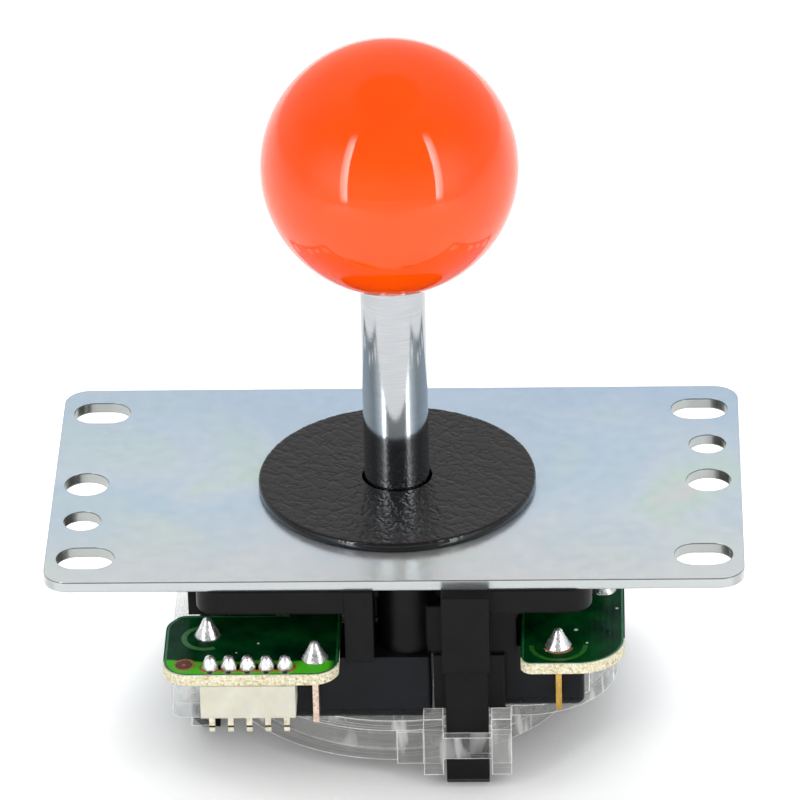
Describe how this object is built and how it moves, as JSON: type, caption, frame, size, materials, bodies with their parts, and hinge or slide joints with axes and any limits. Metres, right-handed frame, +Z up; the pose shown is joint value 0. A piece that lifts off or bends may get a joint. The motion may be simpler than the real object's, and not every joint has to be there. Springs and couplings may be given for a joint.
{
  "type": "arcade joystick lever",
  "caption": "Ball-top arcade joystick lever: tilting sprung shaft on a slotted mounting plate, over microswitches, a circuit board with a pin connector and a clear square restrictor gate.",
  "frame": {"origin": "where the upright lever's axis meets the mounting plate's top face, the centre of its slots", "axes": "+X along the plate's length, -Y towards the connector, +Z up the lever to the ball"},
  "size_m": [0.095, 0.0643, 0.0984],
  "materials": {
    "ball_knob": "glossy moulded plastic, orange",
    "ball_insert": "turned brass",
    "shaft": "polished chrome plating",
    "shaft_clip": "spring steel",
    "dust_washer": "black plastic with a leather grain",
    "inner_dust_washer": "black plastic",
    "mounting_plate": "blue-white zinc plating",
    "plate_screws": "zinc-plated steel",
    "body": "satin black moulded plastic",
    "pivot_ball": "white acetal",
    "spring_cap": "black moulded plastic",
    "spring": "bright spring wire",
    "actuator": "black moulded plastic",
    "circuit_board": "green solder mask on glass epoxy",
    "solder_joints": "bright solder",
    "connector_housing": "ivory moulded plastic",
    "connector_pins": "tinned pins",
    "switch_case": "black moulded plastic",
    "switch_cover": "black moulded plastic",
    "switch_plunger": "pale moulded plastic",
    "switch_blade": "copper alloy spring strip",
    "switch_terminals": "brass strip",
    "gate": "clear polycarbonate"
  },
  "bodies": {
    "housing": {"mounting_plate": "mounting_plate", "plate_screws": "plate_screws", "body": "body", "circuit_board": "circuit_board", "solder_joints": "solder_joints", "connector_housing": "connector_housing", "connector_pins": "connector_pins", "gate_frame": "gate", "gate_disc": "gate", "switch_front_case": "switch_case", "switch_front_cover": "switch_cover", "switch_front_blade": "switch_blade", "switch_front_terminals": "switch_terminals", "switch_right_case": "switch_case", "switch_right_cover": "switch_cover", "switch_right_blade": "switch_blade", "switch_right_terminals": "switch_terminals", "switch_back_case": "switch_case", "switch_back_cover": "switch_cover", "switch_back_blade": "switch_blade", "switch_back_terminals": "switch_terminals", "switch_left_case": "switch_case", "switch_left_cover": "switch_cover", "switch_left_blade": "switch_blade", "switch_left_terminals": "switch_terminals"},
    "spring": {"spring": "spring"},
    "lever": {"pivot_ball": "pivot_ball", "spring_cap": "spring_cap", "actuator": "actuator"},
    "shaft": {"shaft": "shaft", "shaft_clip": "shaft_clip", "ball_insert": "ball_insert", "ball_knob": "ball_knob"},
    "inner_dust_washer": {"inner_dust_washer": "inner_dust_washer"},
    "dust_washer": {"dust_washer": "dust_washer"},
    "plunger_front": {"switch_front_plunger": "switch_plunger"},
    "plunger_right": {"switch_right_plunger": "switch_plunger"},
    "plunger_back": {"switch_back_plunger": "switch_plunger"},
    "plunger_left": {"switch_left_plunger": "switch_plunger"}
  },
  "joints": [
    {"name": "tilt_fore_aft", "type": "hinge", "parent": "housing", "child": "spring", "pos_m": [0, 0, -0.0065], "axis": [1, 0, 0], "range_deg": [-8.5, 8.5], "stiffness_Nm_per_rad": 0.25, "deforming": ["spring"]},
    {"name": "tilt_left_right", "type": "hinge", "parent": "spring", "child": "lever", "pos_m": [0, 0, -0.0065], "axis": [0, 1, 0], "range_deg": [-8.5, 8.5], "stiffness_Nm_per_rad": 0.25},
    {"name": "lever_spin", "type": "hinge", "parent": "lever", "child": "shaft", "pos_m": [0, 0, -0.0065], "axis": [0, 0, 1], "continuous": true},
    {"name": "inner_washer_slide", "type": "slide", "parent": "housing", "child": "inner_dust_washer", "axis": [0, 1, 0], "range_m": [-0.0012, 0.0012]},
    {"name": "dust_washer_slide", "type": "slide", "parent": "inner_dust_washer", "child": "dust_washer", "axis": [1, 0, 0], "range_m": [-0.0012, 0.0012]},
    {"name": "plunger_front_press", "type": "slide", "parent": "housing", "child": "plunger_front", "axis": [0, -1, 0], "range_m": [0, 0.0006], "stiffness_N_per_m": 600},
    {"name": "plunger_right_press", "type": "slide", "parent": "housing", "child": "plunger_right", "axis": [1, 0, 0], "range_m": [0, 0.0006], "stiffness_N_per_m": 600},
    {"name": "plunger_back_press", "type": "slide", "parent": "housing", "child": "plunger_back", "axis": [0, 1, 0], "range_m": [0, 0.0006], "stiffness_N_per_m": 600},
    {"name": "plunger_left_press", "type": "slide", "parent": "housing", "child": "plunger_left", "axis": [-1, 0, 0], "range_m": [0, 0.0006], "stiffness_N_per_m": 600}
  ],
  "couplings": [
    {"joint": "inner_washer_slide", "follows": "tilt_fore_aft", "m_per_rad": -0.007175},
    {"joint": "dust_washer_slide", "follows": "tilt_left_right", "m_per_rad": 0.007175}
  ]
}
